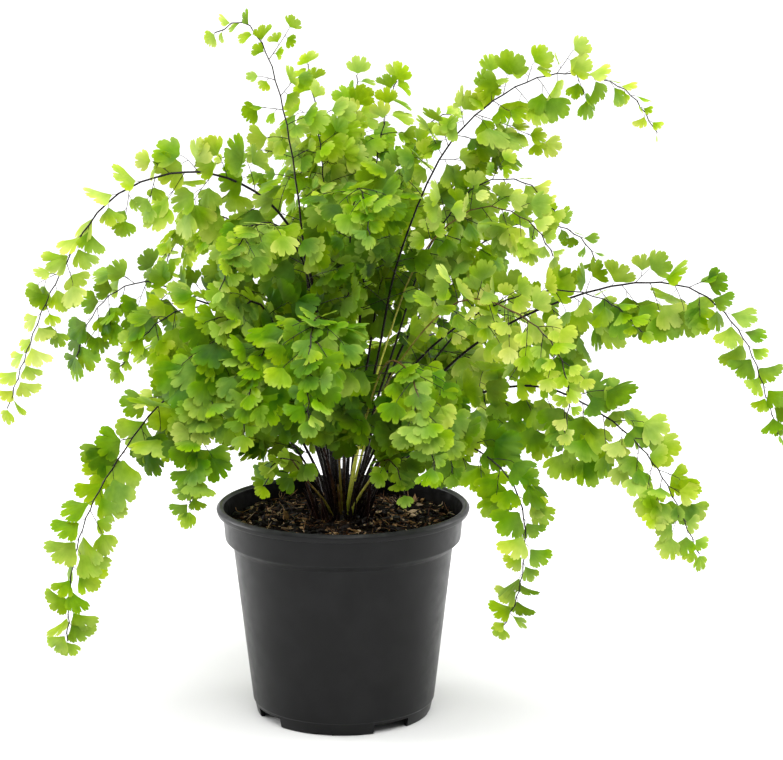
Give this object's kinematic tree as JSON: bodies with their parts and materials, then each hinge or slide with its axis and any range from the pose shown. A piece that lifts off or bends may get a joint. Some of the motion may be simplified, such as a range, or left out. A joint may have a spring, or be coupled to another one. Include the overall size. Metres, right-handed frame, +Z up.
{
  "type": "potted fern",
  "caption": "Arching maidenhair fern with fan-shaped, lobed leaflets on wiry black stems, growing in potting mix in a round, footed nursery pot.",
  "frame": {"origin": "centre of the pot's underside, on the surface that the pot stands on", "axes": "+Z up; -Y towards the front, where the plant is seen from; +X to the viewer's right"},
  "size_m": [0.3946, 0.2782, 0.3625],
  "materials": {
    "pot": "satin moulded, lightly scuffed",
    "soil": "damp bark and fibre mix",
    "crown": "dark scaly rhizome",
    "frond": "soft green leaflets on glossy black stems"
  },
  "bodies": {
    "root": {"pot": "pot", "potting_mix": "soil", "rhizome_crown": "crown", "frond_long_left": "frond", "frond_tall_left": "frond", "frond_dark_left": "frond", "frond_low_left": "frond", "frond_mid_left": "frond", "frond_front_left": "frond", "frond_inner_left": "frond", "frond_rim_left": "frond", "frond_front_middle": "frond", "frond_rim_right": "frond", "frond_front_right": "frond", "frond_inner_right": "frond", "frond_low_right": "frond", "frond_young_right": "frond", "frond_lower_right": "frond", "frond_long_right": "frond", "frond_mid_right": "frond", "frond_upper_right": "frond", "frond_back_right_arch": "frond", "frond_inner_right_arch": "frond", "frond_top_front": "frond", "frond_top_front_left": "frond", "frond_top_right": "frond", "frond_top_middle": "frond", "frond_crest_left": "frond", "frond_crest_right": "frond", "frond_top_back_left": "frond", "frond_top_back_right": "frond", "frond_arch_back_left": "frond", "frond_arch_back": "frond", "frond_low_back_right": "frond", "frond_low_back_left": "frond", "frond_mid_back_left": "frond", "frond_mid_back_right": "frond"}
  },
  "joints": []
}
